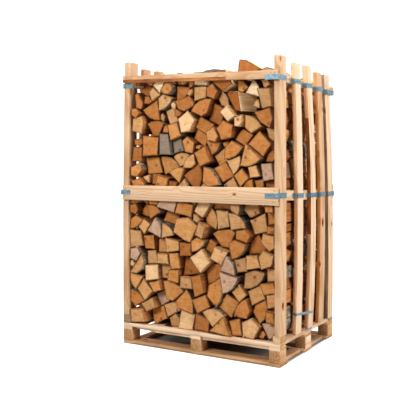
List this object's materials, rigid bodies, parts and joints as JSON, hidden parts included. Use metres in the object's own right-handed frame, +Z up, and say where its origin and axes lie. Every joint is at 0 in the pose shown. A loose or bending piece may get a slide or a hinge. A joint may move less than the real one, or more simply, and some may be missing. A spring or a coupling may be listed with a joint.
{
  "type": "firewood crate",
  "caption": "Tall slatted timber crate on a four-way block pallet, filled with split firewood laid from front to back and held by side posts, rails and perforated steel straps.",
  "frame": {"origin": "on the ground, under the middle of the crate's outer box", "axes": "+Z up, +X to the right along the wide side, and the front, where the sawn log ends show, faces -Y"},
  "size_m": [1.2259, 0.9682, 1.962],
  "materials": {
    "pale_pine": "sawn, unplaned, pale and knotty",
    "pallet_pine": "sawn, slightly weathered",
    "block_pine": "sawn end grain",
    "split_birch": "rough split and sawn, with bark in places",
    "galvanised_steel": "dull galvanised strip"
  },
  "bodies": {
    "root": {"block_back_centre": "block_pine", "block_back_left": "block_pine", "block_back_right": "block_pine", "block_front_centre": "block_pine", "block_front_left": "block_pine", "block_front_right": "block_pine", "block_middle_centre": "block_pine", "block_middle_left": "block_pine", "block_middle_right": "block_pine", "bottom_board_back": "pallet_pine", "bottom_board_front": "pallet_pine", "bottom_board_middle": "pallet_pine", "bottom_strip_back_left": "pallet_pine", "bottom_strip_back_right": "pallet_pine", "bottom_strip_front_left": "pallet_pine", "bottom_strip_front_right": "pallet_pine", "deck_board_1": "pale_pine", "deck_board_2": "pale_pine", "deck_board_3": "pale_pine", "deck_board_4": "pale_pine", "deck_board_5": "pale_pine", "deck_board_6": "pale_pine", "deck_board_7": "pale_pine", "lead_board_back": "pale_pine", "lead_board_front": "pale_pine", "log_loose_top": "split_birch", "log_row_back": "split_birch", "log_row_front": "split_birch", "log_row_middle": "split_birch", "post_back_left": "pale_pine", "post_back_right": "pale_pine", "post_foot_front_left": "block_pine", "post_foot_front_right": "block_pine", "post_fourth_left": "pale_pine", "post_fourth_right": "pale_pine", "post_front_left": "pale_pine", "post_front_right": "pale_pine", "post_second_left": "pale_pine", "post_second_right": "pale_pine", "post_third_left": "pale_pine", "post_third_right": "pale_pine", "rail_mid_back": "pale_pine", "rail_mid_front": "pale_pine", "rail_mid_left": "pale_pine", "rail_mid_right": "pale_pine", "rail_top_back": "pale_pine", "rail_top_front": "pale_pine", "rail_top_left": "pale_pine", "rail_top_right": "pale_pine", "strap_mid_back_left": "galvanised_steel", "strap_mid_back_right": "galvanised_steel", "strap_mid_front_left": "galvanised_steel", "strap_mid_front_right": "galvanised_steel", "strap_top_back_left": "galvanised_steel", "strap_top_back_right": "galvanised_steel", "strap_top_front_left": "galvanised_steel", "strap_top_front_right": "galvanised_steel", "stringer_back": "pallet_pine", "stringer_front": "pallet_pine", "stringer_middle": "pallet_pine"}
  },
  "joints": []
}
